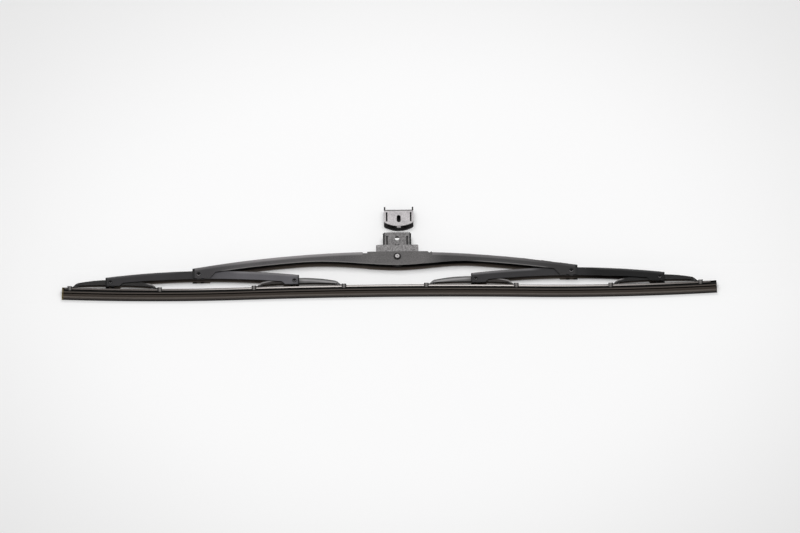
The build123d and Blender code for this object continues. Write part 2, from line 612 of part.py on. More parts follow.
# Arm adapter: base and boss between the hub's walls, tongue with guides along its sides
with BuildPart() as adapter:
    with BuildSketch() as base:
        with Locations((0, ADAPTER_BASE_BOTTOM)):
            base_height = ADAPTER_BASE_TOP - ADAPTER_BASE_BOTTOM
            Rectangle(2 * ADAPTER_BASE_HALF, base_height, align=(Align.CENTER, Align.MIN))
        fillet(base.vertices().group_by(Axis.Y)[-1], ADAPTER_CORNER_R)
        Circle(ADAPTER_BOSS_R)
    extrude(amount=hub_inner_z - ADAPTER_SIDE_CLEARANCE, both=True)
    with BuildSketch():
        with BuildLine():
            shoulder_y = TONGUE_TOP - TONGUE_CROWN
            crown = (0, TONGUE_TOP)
            tip = ThreePointArc((-TONGUE_HALF, shoulder_y), crown, (TONGUE_HALF, shoulder_y))
            Polyline(
                tip @ 1,
                (TONGUE_HALF, ADAPTER_BASE_BOTTOM),
                (-TONGUE_HALF, ADAPTER_BASE_BOTTOM),
                tip @ 0,
            )
        make_face()
    extrude(amount=TONGUE_THICK / 2, both=True)
    far_face = Plane.XY.offset(-TONGUE_THICK / 2)
    near_face = Plane.XY.offset(TONGUE_THICK / 2)
    tongue_length = shoulder_y - ADAPTER_BASE_TOP
    with BuildSketch(far_face):
        with Locations((0, ADAPTER_BASE_TOP)):
            Rectangle(2 * GUIDE_HALF, tongue_length, align=(Align.CENTER, Align.MIN))
    extrude(amount=GUIDE_THICK)
    with BuildSketch(far_face):
        with Locations((0, ADAPTER_BASE_TOP)):
            pocket = (2 * (TONGUE_HALF - TONGUE_WALL), tongue_length - TONGUE_WALL)
            Rectangle(*pocket, align=(Align.CENTER, Align.MIN))
    extrude(amount=TONGUE_THICK - TONGUE_PLATE, mode=Mode.SUBTRACT)
    with BuildSketch(near_face):
        with Locations((0, PIP_Y)):
            Circle(PIP_R)
    extrude(amount=PIP_PROUD)
    with BuildSketch(near_face):
        with Locations((-GRIP_SLOT_X, GRIP_SLOT_Y), (GRIP_SLOT_X, GRIP_SLOT_Y)):
            Rectangle(GRIP_SLOT_WIDTH, GRIP_SLOT_LENGTH)
    extrude(amount=-GRIP_SLOT_DEPTH, mode=Mode.SUBTRACT)
    with Locations((0, 0, hub_inner_z)):
        Hole(HUB_PIN_R + PIVOT_CLEARANCE)
    with Locations((0, ARM_HOLE_Y, hub_inner_z)):
        Hole(ARM_HOLE_R)
adapter.part.label = "adapter"
export_step(adapter.part, "parts/adapter.step")

# Cap: a pocket with a bowed mouth, guide slots in its sides and two prongs at the closed back
with BuildPart() as adapter_cap:
    room_z = TONGUE_THICK / 2 + CAP_CLEARANCE
    cap_half_z = room_z + CAP_FACE
    room_x = TONGUE_HALF + CAP_CLEARANCE
    cap_half_x = room_x + CAP_SIDE_WALL
    cap_plane = Plane((CAP_X, CAP_MOUTH_Y, table_z + cap_half_z))
    cap_top = cap_plane.offset(cap_half_z)
    with BuildSketch(cap_plane):
        with BuildLine():
            side_y = CAP_MOUTH_BOW
            mouth = ThreePointArc((-cap_half_x, side_y), (0, 0), (cap_half_x, side_y))
            Polyline(mouth @ 1, (cap_half_x, CAP_LENGTH), (-cap_half_x, CAP_LENGTH), mouth @ 0)
        make_face()
        with Locations((-cap_half_x, CAP_LENGTH)):
            Rectangle(CAP_SIDE_WALL, CAP_PRONG, align=(Align.MIN, Align.MIN))
        with Locations((cap_half_x, CAP_LENGTH)):
            Rectangle(CAP_SIDE_WALL, CAP_PRONG, align=(Align.MAX, Align.MIN))
    extrude(amount=cap_half_z, both=True)
    with BuildSketch(cap_plane):
        room_y = CAP_LENGTH - CAP_BACK_WALL - CAP_BACK_STEP
        Rectangle(2 * room_x, 2 * room_y)
    extrude(amount=room_z, both=True, mode=Mode.SUBTRACT)
    with BuildSketch(cap_plane.offset(-room_z)):
        Rectangle(2 * GUIDE_HALF + deep, 2 * tongue_length)
    extrude(amount=GUIDE_THICK + 2 * CAP_CLEARANCE, mode=Mode.SUBTRACT)
    with BuildSketch(cap_top):
        with Locations((0, CAP_LENGTH)):
            Rectangle(2 * room_x, CAP_BACK_STEP, align=(Align.CENTER, Align.MAX))
    extrude(amount=-CAP_BACK_STEP_DEPTH, mode=Mode.SUBTRACT)
    with BuildSketch(cap_top):
        with Locations((0, CAP_SLOT_FROM_MOUTH)):
            with GridLocations(2 * CAP_SLOT_X, 0, 2, 1):
                Rectangle(CAP_SLOT_WIDTH, CAP_SLOT_LENGTH)
        with Locations((0, CAP_KEYHOLE_FROM_MOUTH)):
            SlotOverall(CAP_KEYHOLE_LENGTH, CAP_KEYHOLE_WIDTH, rotation=90)
    extrude(amount=-CAP_FACE, mode=Mode.SUBTRACT)
    with BuildSketch(cap_plane.offset(room_z)):
        with Locations((0, -CAP_TAB_PROUD)):
            Rectangle(CAP_TAB_WIDTH, CAP_TAB_LENGTH, align=(Align.CENTER, Align.MIN))
    extrude(amount=-CAP_TAB_THICK)
adapter_cap.part.label = "adapter_cap"
export_step(adapter_cap.part, "parts/adapter_cap.step")
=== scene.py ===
import math

import bpy
import numpy as np
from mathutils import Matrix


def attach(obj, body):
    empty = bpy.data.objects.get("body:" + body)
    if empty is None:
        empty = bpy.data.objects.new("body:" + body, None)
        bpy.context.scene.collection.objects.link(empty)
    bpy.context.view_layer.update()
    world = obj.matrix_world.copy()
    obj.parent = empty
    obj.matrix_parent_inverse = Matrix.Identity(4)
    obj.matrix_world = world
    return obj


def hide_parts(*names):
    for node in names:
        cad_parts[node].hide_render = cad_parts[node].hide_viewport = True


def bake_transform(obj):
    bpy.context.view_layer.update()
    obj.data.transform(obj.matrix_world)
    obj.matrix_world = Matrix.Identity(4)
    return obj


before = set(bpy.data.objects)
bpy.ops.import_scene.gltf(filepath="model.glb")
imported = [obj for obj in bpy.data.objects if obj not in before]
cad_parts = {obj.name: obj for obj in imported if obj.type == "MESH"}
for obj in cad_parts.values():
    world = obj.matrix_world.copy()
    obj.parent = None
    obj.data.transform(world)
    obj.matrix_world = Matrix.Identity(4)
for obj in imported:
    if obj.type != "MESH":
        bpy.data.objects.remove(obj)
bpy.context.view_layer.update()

# Table: a seamless pale sheet that the blade lies on, with painted shade
# that makes it a little darker towards the corners.
# The blade rests on its pin and its claws, so the sheet leans a little between them.
TABLE_Z, TABLE_HALF = -0.0081, 3.0
LEAN, LEAN_START, LEAN_RUN = 0.11, -0.004, 0.038
LEAN_FROM, LEAN_TO, LEAN_ROWS = -0.060, 0.010, 36
TABLE_MIDDLE = (0.950, 0.950, 0.951)
TABLE_EDGE_SHADE = (0.81, 0.808, 0.808)
PALE_X, PALE_SHIFT, PALE_WIDTH, PALE_DEPTH = 0.01, 0.02, 0.78, 1.05
PALE_TO_DARK = (0.20, 0.50)
GLOW_FAR, GLOW_BEHIND, GLOW_AHEAD, GLOW_UNDER_HOLE = 0.30, 0.15, 0.65, 0.9
NEAR_X, NEAR_Y = (0.34, 0.44), (0.055, 0.110)
AHEAD_OF_LIP = (-0.039, -0.030)
UNDER_HOLE_Y, UNDER_HOLE_R = 0.0265, (0.0045, 0.0065)


class Tone:
    """One socket in a finish: sums, differences, products and powers of tones add Math nodes."""

    def __init__(self, tree, socket=None):
        self.tree = tree
        self.socket = socket

    def node(self, kind, settings=(), sockets=(), out=0):
        """Add a node: its settings are set first, then its sockets get values or links."""
        made = self.tree.nodes.new("ShaderNode" + kind)
        for name, value in dict(settings).items():
            if name == "stops":
                stops = made.color_ramp.elements
                stops[0].position, stops[0].color = value[0][0], (*value[0][1], 1)
                stops[1].position, stops[1].color = value[-1][0], (*value[-1][1], 1)
                for at, colour in value[1:-1]:
                    stops.new(at).color = (*colour, 1)
            else:
                setattr(made, name, value)
        for name, value in dict(sockets).items():
            if isinstance(value, Tone):
                self.tree.links.new(value.socket, made.inputs[name])
            else:
                made.inputs[name].default_value = value
        return Tone(self.tree, made.outputs[out])

    def math(self, operation, *values):
        return self.node("Math", {"operation": operation}, dict(enumerate(values)))

    def most(self, other):
        return self.math("MAXIMUM", self, other)

    def least(self, other):
        return self.math("MINIMUM", self, other)

    def __add__(self, other):
        return self.math("ADD", self, other)

    def __radd__(self, other):
        return self.math("ADD", other, self)

    def __sub__(self, other):
        return self.math("SUBTRACT", self, other)

    def __rsub__(self, other):
        return self.math("SUBTRACT", other, self)

    def __mul__(self, other):
        return self.math("MULTIPLY", self, other)

    def __rmul__(self, other):
        return self.math("MULTIPLY", other, self)

    def __pow__(self, other):
        return self.math("POWER", self, other)

    def __abs__(self):
        return self.math("ABSOLUTE", self)


def new_finish(name, **constants):
    """A material with one shader whose constant sockets are set directly."""
    material = bpy.data.materials.new(name)
    material.use_nodes = True
    shader = material.node_tree.nodes["Principled BSDF"]
    for socket, value in constants.items():
        shader.inputs[socket.replace("_", " ")].default_value = value
    return material, shader, Tone(material.node_tree)


def place(tone):
    """Object coordinates, whole and split into X, Y and Z."""
    whole = tone.node("TexCoord", out="Object")
    split = [tone.node("SeparateXYZ", (), {0: whole}, out=axis) for axis in "XYZ"]
    return whole, *split


def fade(value, low, high):
    """0 below low, 1 above high and a smooth step between them."""
    settings = {"interpolation_type": "SMOOTHSTEP"}
    return value.node("MapRange", settings, {"Value": value, "From Min": low, "From Max": high})


def until(value, low, high):
    """1 below low, 0 above high and a smooth step between them."""
    return 1.0 - fade(value, low, high)


def span(across, along):
    """Distance from two distances at right angles: the root of the sum of their squares."""
    return (across ** 2.0 + along ** 2.0) ** 0.5


def between(factor, first, second):
    """Number that goes from the first to the second as the factor goes from 0 to 1."""
    return first + (second - first) * factor


def tint(factor, first, second):
    """Colour that goes from the first to the second as the factor goes from 0 to 1."""
    colours = [c if isinstance(c, Tone) else (*c, 1) for c in (first, second)]
    # the Mix node's colours are its sockets 6 and 7, and its coloured result is output 2
    sockets = {0: factor, 6: colours[0], 7: colours[1]}
    return factor.node("Mix", {"data_type": "RGBA"}, sockets, out=2)


def feed(shader, **tones):
    """Link tones to the shader's sockets that change over the surface."""
    for socket, tone in tones.items():
        tone.tree.links.new(tone.socket, shader.inputs[socket.replace("_", " ")])


def surface(name, points, closed_rows, capped, material, labels=None):
    """Mesh from a grid of points: neighbours along both parameters are joined by quads.

    A closed row joins its last point to its first, and caps close the first and last row.
    Labels are two numbers for each point, kept as its UV, for finishes that follow the form."""
    rows, columns = points.shape[:2]
    index = np.arange(rows * columns).reshape(rows, columns)
    following = np.roll(index, -1, axis=1)
    if not closed_rows:
        index, following = index[:, :-1], following[:, :-1]
    quads = np.stack([index[:-1], following[:-1], following[1:], index[1:]], axis=-1)
    faces = quads.reshape(-1, 4).tolist()
    if capped:
        ring = np.arange(columns)
        faces += [ring[::-1].tolist(), (ring + (rows - 1) * columns).tolist()]
    mesh = bpy.data.meshes.new(name)
    mesh.from_pydata(points.reshape(-1, 3).tolist(), [], faces)
    if labels is not None:
        corners = np.empty(len(mesh.loops), dtype=np.int32)
        mesh.loops.foreach_get("vertex_index", corners)
        pairs = labels.reshape(-1, 2)[corners]
        mesh.uv_layers.new(name="labels").data.foreach_set("uv", pairs.ravel())
    mesh.materials.append(material)
    mesh.update()
    made = bpy.data.objects.new(name, mesh)
    bpy.context.scene.collection.objects.link(made)
    return made


table_finish, shader, tone = new_finish("table_sheet", Roughness=0.8, Specular_IOR_Level=0.1)
_, x, y, _ = place(tone)
# painted shade: the sheet's colour darkens away from the middle, where the lamp's light falls off
distance = span((x - PALE_X) * PALE_WIDTH, y * PALE_DEPTH + PALE_SHIFT)
sheet_white = tint(fade(distance, *PALE_TO_DARK), TABLE_MIDDLE, TABLE_EDGE_SHADE)
feed(shader, Base_Color=sheet_white)
# seen straight, mirrored or through glass, the sheet glows in part, which weakens the shadows; the
# rest keeps the shadow
rays = ("Is Camera Ray", "Is Glossy Ray", "Is Transmission Ray")
straight, mirrored, through = [tone.node("LightPath", out=ray) for ray in rays]
seen = straight.most(mirrored).most(through)
# painted light: the glow is stronger ahead of the strip's lip, lifting the strip's shadow there, and a
# glowing spot under the adapter's hole lights the table seen through it
near = until(abs(x), *NEAR_X) * until(abs(y), *NEAR_Y)
close_share = between(until(y, *AHEAD_OF_LIP), GLOW_BEHIND, GLOW_AHEAD)
under_hole = until(span(x, y - UNDER_HOLE_Y), *UNDER_HOLE_R)
share = between(near, GLOW_FAR, close_share).most(GLOW_UNDER_HOLE * under_hole)
lit = Tone(tone.tree, shader.outputs[0])
glow = tone.node("Emission", (), {"Color": sheet_white, "Strength": 1.0})
mixed = tone.node("MixShader", (), {0: seen * share, 1: lit, 2: glow})
tone.tree.links.new(mixed.socket, tone.tree.nodes["Material Output"].inputs["Surface"])
across = np.linspace(-TABLE_HALF, TABLE_HALF, 3)
along = np.concatenate([[-TABLE_HALF], np.linspace(LEAN_FROM, LEAN_TO, LEAN_ROWS), [TABLE_HALF]])
grid_y, grid_x = np.meshgrid(along, across, indexing="ij")
sheet_z = TABLE_Z + LEAN * np.clip(LEAN_START - grid_y, 0, LEAN_RUN)
surface("table", np.stack([grid_x, grid_y, sheet_z], axis=-1), False, False, table_finish)

# Studio light: an even sky, bright low down and dimmer overhead.
# One large, weak lamp hangs above the hub, so the shadows stay soft and short.
SKY_RIM, SKY_TOP, SKY_STEP = 0.55, 0.30, (0.15, 0.75)
LAMP_X, LAMP_Y, LAMP_Z = -0.03, 0.1, 1.8
LAMP_SIZE, LAMP_WATTS = 1.2, 25.0
world = bpy.data.worlds.new("studio")
bpy.context.scene.world = world
world.use_nodes = True
sky = Tone(world.node_tree)
direction = sky.node("TexCoord", out="Generated")
height = sky.node("SeparateXYZ", (), {0: direction}, out="Z")
level = tint(fade(height, *SKY_STEP), (SKY_RIM,) * 3, (SKY_TOP,) * 3)
sky.tree.links.new(level.socket, sky.tree.nodes["Background"].inputs["Color"])
lamp = bpy.data.lights.new("overhead_light", "AREA")
lamp.shape, lamp.size, lamp.energy = "SQUARE", LAMP_SIZE, LAMP_WATTS
overhead = bpy.data.objects.new("overhead_light", lamp)
overhead.location = (LAMP_X, LAMP_Y, LAMP_Z)
tilt = math.atan2(math.hypot(LAMP_X, LAMP_Y), LAMP_Z)
overhead.rotation_euler = (tilt, 0, math.atan2(LAMP_X, -LAMP_Y))
bpy.context.scene.collection.objects.link(overhead)

# Main bridge: one long steel channel, pressed to an arch and powder-coated charcoal.
# Its hub is opened between two deeper walls. Painted reflection makes the coat lighter on the hub than
# on the arms, lighter on the left than on the right, and darker on the ears.
# The shoulders carry a painted highlight, a thin lighter line runs along the lower edge, and the ears'
# ends are black;
# the back wall is brown inside with painted shade near its top, and painted shade rings each rivet.
BRIDGE_MIDDLE_X, BRIDGE_EAR_X, BRIDGE_RIVET_X, BRIDGE_RIVET_Y = -0.0124, 0.1908, 0.1847, -0.017
CROWN_Y, ARCH_R, ARM_DEPTH, HUB_SWELL, HUB_SWEEP = 0.0072, 1.0943, 0.009, 0.0072, 0.092
LEFT_TO_RIGHT, HUB_TO_ARM, ARM_TO_EAR = (-0.05, 0.05), (0.024, 0.050), (0.13, 0.178)
EDGE_STARTS, EDGE_STOPS, EDGE_REACH = (-0.0006, -0.0002), (0.0004, 0.0009), (0.155, 0.165)
SHOULDER_DEPTH, SHOULDER_START, SHOULDER_TO_EAR = (0.0030, 0.0054), (0.0340, 0.0350), (0.11, 0.172)
BACK_WALL_Z, INSIDE_SHADE_DEPTH = (-0.0050, -0.0040), (0.0020, 0.0042)
EAR_END, BRIDGE_RIVET_SHADE_RING = (-0.0026, -0.0020), (0.0020, 0.0026)
HUB_GREY = (0.105, 0.100, 0.099)
LEFT_ARM_GREY = (0.070, 0.066, 0.068)
RIGHT_ARM_GREY = (0.037, 0.0355, 0.036)
LEFT_EAR_GREY = (0.030, 0.028, 0.030)
RIGHT_EAR_GREY = (0.015, 0.0135, 0.014)
EDGE_GREY = (0.17, 0.165, 0.163)
SHOULDER_HIGHLIGHT_GREY = (0.30, 0.288, 0.292)
INSIDE_BROWN = (0.118, 0.098, 0.082)
COAT_BLACK = (0.004, 0.004, 0.004)


def shade(colour, level):
    """Colour made darker or lighter by a level about 1."""
    settings = {"data_type": "RGBA", "blend_type": "MULTIPLY"}
    return level.node("Mix", settings, {0: 1.0, 6: colour, 7: level}, out=2)


def speckle(where, scale, detail=2.0, stretch=(1, 1, 1)):
    """Noise of about 1/scale metres, stretched along the axes where a number is small."""
    spread = where.node("Mapping", (), {"Vector": where, "Scale": stretch})
    return where.node("TexNoise", (), {"Vector": spread, "Scale": scale, "Detail": detail})


def relief(height, depth, strength):
    """Bump of a given depth in metres."""
    return height.node("Bump", (), {"Strength": strength, "Distance": depth, "Height": height})


def dress(material, *names):
    """Give CAD nodes their finish."""
    for name in names:
        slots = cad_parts[name].data.materials
        slots.clear()
        slots.append(material)


bridge_finish, shader, tone = new_finish("bridge_coat", Specular_IOR_Level=0.2)
where, x, y, z = place(tone)
grain = speckle(where, 1000.0, 3.0)
cloud = speckle(where, 60.0)
from_middle = abs(x - BRIDGE_MIDDLE_X)
# painted reflection: the coat's tone changes along the blade, lightest on the hub, darker to the right
# and on the ears
to_right = fade(x, *LEFT_TO_RIGHT)
coat = tint(fade(abs(x), *HUB_TO_ARM), HUB_GREY, tint(to_right, LEFT_ARM_GREY, RIGHT_ARM_GREY))
coat = tint(fade(from_middle, *ARM_TO_EAR), coat, tint(to_right, LEFT_EAR_GREY, RIGHT_EAR_GREY))
coat = shade(coat, 0.25 + 1.2 * grain + 0.3 * cloud)
below_top = CROWN_Y - from_middle ** 2.0 * (0.5 / ARCH_R) - y
above_edge = ARM_DEPTH + HUB_SWELL * until(abs(x), 0.0, HUB_SWEEP) - below_top
# a thin lighter line is painted along the walls' lower edge, short of the ears
edge_line = fade(above_edge, *EDGE_STARTS) * until(above_edge, *EDGE_STOPS)
edge_line = edge_line * until(from_middle, *EDGE_REACH)
coat = tint(0.8 * edge_line, coat, EDGE_GREY)
# painted highlight along the arms' shoulders, weaker towards the ears and on the right
shoulder = until(below_top, *SHOULDER_DEPTH) * fade(abs(x), *SHOULDER_START)
shoulder = shoulder * (1.0 - 0.6 * fade(from_middle, *SHOULDER_TO_EAR)) * (0.8 - 0.4 * to_right)
coat = tint(shoulder, coat, SHOULDER_HIGHLIGHT_GREY)
# the back wall is brown inside, and painted black near its top as the shade under the near wall
inside = tint(fade(above_edge, *INSIDE_SHADE_DEPTH), INSIDE_BROWN, COAT_BLACK)
coat = tint(until(z, *BACK_WALL_Z), coat, inside)
coat = tint(fade(from_middle - BRIDGE_EAR_X, *EAR_END), coat, COAT_BLACK)
# painted shade: a black ring round each rivet on the ears
from_rivet = span(from_middle - BRIDGE_RIVET_X, y - BRIDGE_RIVET_Y)
coat = tint(fade(from_rivet, *BRIDGE_RIVET_SHADE_RING), COAT_BLACK, coat)
feed(shader, Base_Color=coat, Roughness=0.28 + 0.2 * grain, Normal=relief(grain, 0.00006, 0.5))
dress(bridge_finish, "main_bridge")

# Hub pin: a turned steel pin pressed through the hub, with a centre mark in its end.
# Black nylon collars hold it in both walls, and nylon saddles sit between the channels.
PIN_MARK_R, PIN_EDGE_R, TURNING = (0.0004, 0.0008), (0.0018, 0.0022), 26000.0
PIN_MARK_GREY = (0.08, 0.075, 0.075)
PIN_STEEL = (0.36, 0.345, 0.345)
PIN_EDGE_GREY = (0.10, 0.095, 0.095)
NYLON_BLACKS = (0.002, 0.002, 0.002), (0.008, 0.0075, 0.0075)
pin_finish, shader, tone = new_finish("turned_steel", Metallic=0.6)
_, x, y, _ = place(tone)
radius = span(x, y)
rings = tone.math("SINE", radius * TURNING)
steel = tint(fade(radius, *PIN_MARK_R), PIN_MARK_GREY, PIN_STEEL)
steel = tint(fade(radius, *PIN_EDGE_R), steel, PIN_EDGE_GREY)
feed(shader, Base_Color=steel, Roughness=0.4 + 0.06 * rings, Normal=relief(rings, 0.00002, 0.4))
dress(pin_finish, "hub_pin")
nylon_finish, shader, tone = new_finish("black_nylon", Specular_IOR_Level=0.25)
grain = speckle(place(tone)[0], 2200.0)
nylon = tint(grain, *NYLON_BLACKS)
feed(shader, Base_Color=nylon, Roughness=0.5 + 0.15 * grain, Normal=relief(grain, 0.00003, 0.4))
dress(nylon_finish, "hub_bush_front", "hub_bush_back", "yoke_bush_left", "yoke_bush_right")
dress(nylon_finish, *[f"claw_bush_{i}" for i in range(1, 5)])

# Rivets: black-coated steel, pressed through each ear, with a dished end.
# The dish is painted dark as shade, and the lower half of its rim carries a painted highlight.
BRIDGE_RIVETS_X, BRIDGE_RIM_R = (-0.1971, 0.1723), 0.0019
CLAW_RIVETS_X, CLAW_RIVET_Y, CLAW_RIM_R = (-0.2847, -0.1023, 0.0775, 0.2599), -0.024, 0.0014
RIM_SHARES, RIM_LOWER_HALF = (0.62, 0.86), (-0.0004, 0.0010)
DISH_SHADE_BLACK = (0.003, 0.003, 0.003)
RIM_HIGHLIGHT_GREY = (0.19, 0.183, 0.187)


def nearest(value, places):
    """Distance to the nearest of some places."""
    closest = abs(value - places[0])
    for other in places[1:]:
        closest = closest.least(abs(value - other))
    return closest


for name, rim_r, rivets_x, rivet_y, places in (
    ("bridge_rivet", BRIDGE_RIM_R, BRIDGE_RIVETS_X, BRIDGE_RIVET_Y, ("left", "right")),
    ("claw_rivet", CLAW_RIM_R, CLAW_RIVETS_X, CLAW_RIVET_Y, (1, 2, 3, 4)),
):
    rivet_finish, shader, tone = new_finish(f"{name}_coat", Specular_IOR_Level=0.05)
    where, x, y, _ = place(tone)
    grain = speckle(where, 2500.0)
    radius = span(nearest(x, rivets_x), y - rivet_y)
    # painted highlight on the rim's lower half, painted shade in the dish
    rim = fade(radius, *[part * rim_r for part in RIM_SHARES]) * fade(rivet_y - y, *RIM_LOWER_HALF)
    coat = tint(rim, DISH_SHADE_BLACK, RIM_HIGHLIGHT_GREY)
    feed(shader, Base_Color=coat, Roughness=0.35 + 0.2 * grain, Normal=relief(rim, 0.0003, 0.7))
    dress(rivet_finish, *[f"{name}_{place_name}" for place_name in places])

# Yokes: two steel channels, pressed to a flatter arch and coated satin black.
# Each rocks on one of the bridge's rivets. Painted reflection makes the left one's inner arm greyer
# and the right one's outer arm darker, and the tops carry a painted highlight. The ends are black, and
# painted shade rings the claw yokes' rivets and darkens the inside near the top.
YOKE_TOP_Y, YOKE_BENDS, YOKE_ENDS_X = -0.0122, (0.545, 0.740), (-0.2894, -0.0976, 0.0728, 0.2646)
SLATE_STARTS, SLATE_STOPS, DARK_ARM = (-0.205, -0.165), (-0.108, -0.085), (0.165, 0.20)
PAST_RIVET, OUTER_ARM = (-0.001, 0.001), (-0.012, 0.004)
YOKE_TOP_DEPTH, YOKE_EAR_X, YOKE_EAR = (0.0012, 0.0038), -0.006, (0.022, 0.036)
YOKE_BACK_Z, YOKE_INSIDE_SHADE_DEPTH = (-0.0032, -0.0024), (0.0045, 0.0065)
YOKE_END_BAND, CLAW_RIVET_SHADE_RING = (0.0007, 0.0016), (0.0018, 0.0024)
YOKE_BLACK = (0.029, 0.028, 0.0295)
YOKE_SLATE_REFLECTION = (0.096, 0.093, 0.101)
YOKE_DARK = (0.006, 0.006, 0.0062)
YOKE_TOP_HIGHLIGHT_GREY = (0.19, 0.184, 0.19)
YOKE_INSIDE_DARK = (0.022, 0.018, 0.016)
yoke_finish, shader, tone = new_finish("yoke_coat", Specular_IOR_Level=0.1)
where, x, y, z = place(tone)
grain = speckle(where, 1800.0, 3.0)
cloud = speckle(where, 45.0)
dark_arm = fade(x, *DARK_ARM)
# painted reflection: greyer along the left yoke's inner arm, darker on the right yoke's outer arm
coat = tint(fade(x, *SLATE_STARTS) * until(x, *SLATE_STOPS), YOKE_BLACK, YOKE_SLATE_REFLECTION)
coat = tint(dark_arm, coat, YOKE_DARK)
outward = abs(x - BRIDGE_MIDDLE_X) - BRIDGE_RIVET_X
bend = between(fade(outward, *PAST_RIVET), *YOKE_BENDS)
below_top = YOKE_TOP_Y - bend * outward ** 2.0 - y
# painted highlight along the tops, stronger on the inner arms and left out near the bridge's ears
highlight = until(below_top, *YOKE_TOP_DEPTH) * (0.75 - 0.55 * fade(outward, *OUTER_ARM))
highlight = highlight * fade(abs(outward - YOKE_EAR_X), *YOKE_EAR)
coat = tint(highlight, coat, YOKE_TOP_HIGHLIGHT_GREY)
coat = shade(coat, 0.5 + 0.6 * grain + 0.4 * cloud)
# the back wall is brown inside, darker on the right yoke's outer arm, and painted black near the top
# as the shade under the near wall
inside = tint(dark_arm, INSIDE_BROWN, YOKE_INSIDE_DARK)
inside = tint(fade(below_top, *YOKE_INSIDE_SHADE_DEPTH), COAT_BLACK, inside)
coat = tint(until(z, *YOKE_BACK_Z), coat, inside)
coat = tint(fade(nearest(x, YOKE_ENDS_X), *YOKE_END_BAND), COAT_BLACK, coat)
# painted shade: a black ring round each claw yoke's rivet
from_rivet = span(nearest(x, CLAW_RIVETS_X), y - CLAW_RIVET_Y)
coat = tint(fade(from_rivet, *CLAW_RIVET_SHADE_RING), COAT_BLACK, coat)
feed(shader, Base_Color=coat, Roughness=0.28 + 0.18 * grain, Normal=relief(grain, 0.00004, 0.4))
dress(yoke_finish, "yoke_left", "yoke_right")

# Claw yokes: four small steel channels with bent legs and claws folded round the rails.
# They have a thinner, glossier coat. On the two inner ones painted light makes the inward arms grey
# and the outward arms shaded brown; a painted highlight runs along the outward arms' tops and the
# outer ones' inward legs. The outer ones are black, and the claws are grey in the middle and black at
# their sides.
CLAW_TOP_Y, CLAW_SHOULDER_Y, LEG_COSINE = -0.0208, -0.0250, 0.7
CLAW_PIVOTS, CLAW_SLOPES = (0.0899, 0.2723), (-0.0143, 0.0272)
CLAW_ARMS, CLAW_BENDS = (0.0420, 0.0332), (2.38, 3.81)
CLAWS_X = (-0.3249, -0.2357, -0.1425, -0.0533, 0.0285, 0.1177, 0.2109, 0.3001)
INNER_TO_OUTER, PAST_PIVOT, LIT_TO_SHADED = (0.179, 0.181), (-0.001, 0.001), (-0.012, 0.004)
TOP_EDGE, WALL_FOOT, HIGHLIGHT_LEG = (0.0008, 0.0018), (0.0026, 0.0040), (-0.040, -0.034)
CLAW_BACK_Z, CLAW_HEAD_Y, CLAW_EDGE = (-0.0020, -0.0008), (-0.0288, -0.0278), (0.0007, 0.0014)
INWARD_CLAW_LIT_GREY = (0.27, 0.264, 0.264)
OUTWARD_CLAW_SHADE_BROWN = (0.024, 0.020, 0.018)
EDGE_HIGHLIGHT_GREY = (0.22, 0.212, 0.21)
LEFT_CLAW_BLACK = (0.018, 0.0168, 0.0165)
RIGHT_CLAW_BLACK = (0.007, 0.0066, 0.0064)
CLAW_MIDDLE_GREY = (0.15, 0.142, 0.137)
CLAW_SIDE_BLACK = (0.022, 0.0205, 0.0195)
claw_finish, shader, tone = new_finish("claw_coat", Specular_IOR_Level=0.15)
where, x, y, z = place(tone)
grain = speckle(where, 2000.0, 3.0)
cloud = speckle(where, 70.0)
from_middle = abs(x - BRIDGE_MIDDLE_X)
outer = fade(from_middle, *INNER_TO_OUTER)
along = from_middle - between(outer, *CLAW_PIVOTS)
outward = fade(along, *PAST_PIVOT)
lift = along * between(outer, *CLAW_SLOPES)
arch = along ** 2.0 * between(outward, *CLAW_BENDS)
leg = abs(along) - between(outward, *CLAW_ARMS)
below_arm = CLAW_TOP_Y + lift - arch - y
below_leg = LEG_COSINE * (CLAW_SHOULDER_Y + lift - leg - y)
below_top = below_arm.least(below_leg)
edge = until(below_top, *TOP_EDGE)
# painted light: the inner claw yokes' inward arms are lit grey with a dark line along the top and
# darker towards the foot, and their outward arms are shaded brown
inward_coat = tint(0.7 * edge, INWARD_CLAW_LIT_GREY, RIGHT_CLAW_BLACK)
inward_coat = shade(inward_coat, 1.0 - 0.6 * fade(below_top, *WALL_FOOT))
# painted highlight along the top edge of the outward arms and of the outer claw yokes' inward legs
outward_coat = tint(edge, OUTWARD_CLAW_SHADE_BROWN, EDGE_HIGHLIGHT_GREY)
inner_coat = tint(fade(along, *LIT_TO_SHADED), inward_coat, outward_coat)
outer_coat = tint(fade(x, *LEFT_TO_RIGHT), LEFT_CLAW_BLACK, RIGHT_CLAW_BLACK)
outer_coat = tint(edge * until(along, *HIGHLIGHT_LEG), outer_coat, EDGE_HIGHLIGHT_GREY)
coat = shade(tint(outer, inner_coat, outer_coat), 0.5 + 0.4 * grain + 0.6 * cloud)
coat = tint(until(z, *CLAW_BACK_Z), coat, INSIDE_BROWN)
claw = tint(fade(nearest(x, CLAWS_X), *CLAW_EDGE), CLAW_MIDDLE_GREY, CLAW_SIDE_BLACK)
coat = tint(fade(y, *CLAW_HEAD_Y), claw, coat)
feed(shader, Base_Color=coat, Roughness=0.26 + 0.14 * grain, Normal=relief(grain, 0.00004, 0.4))
dress(claw_finish, *[f"claw_yoke_{i}" for i in range(1, 5)])

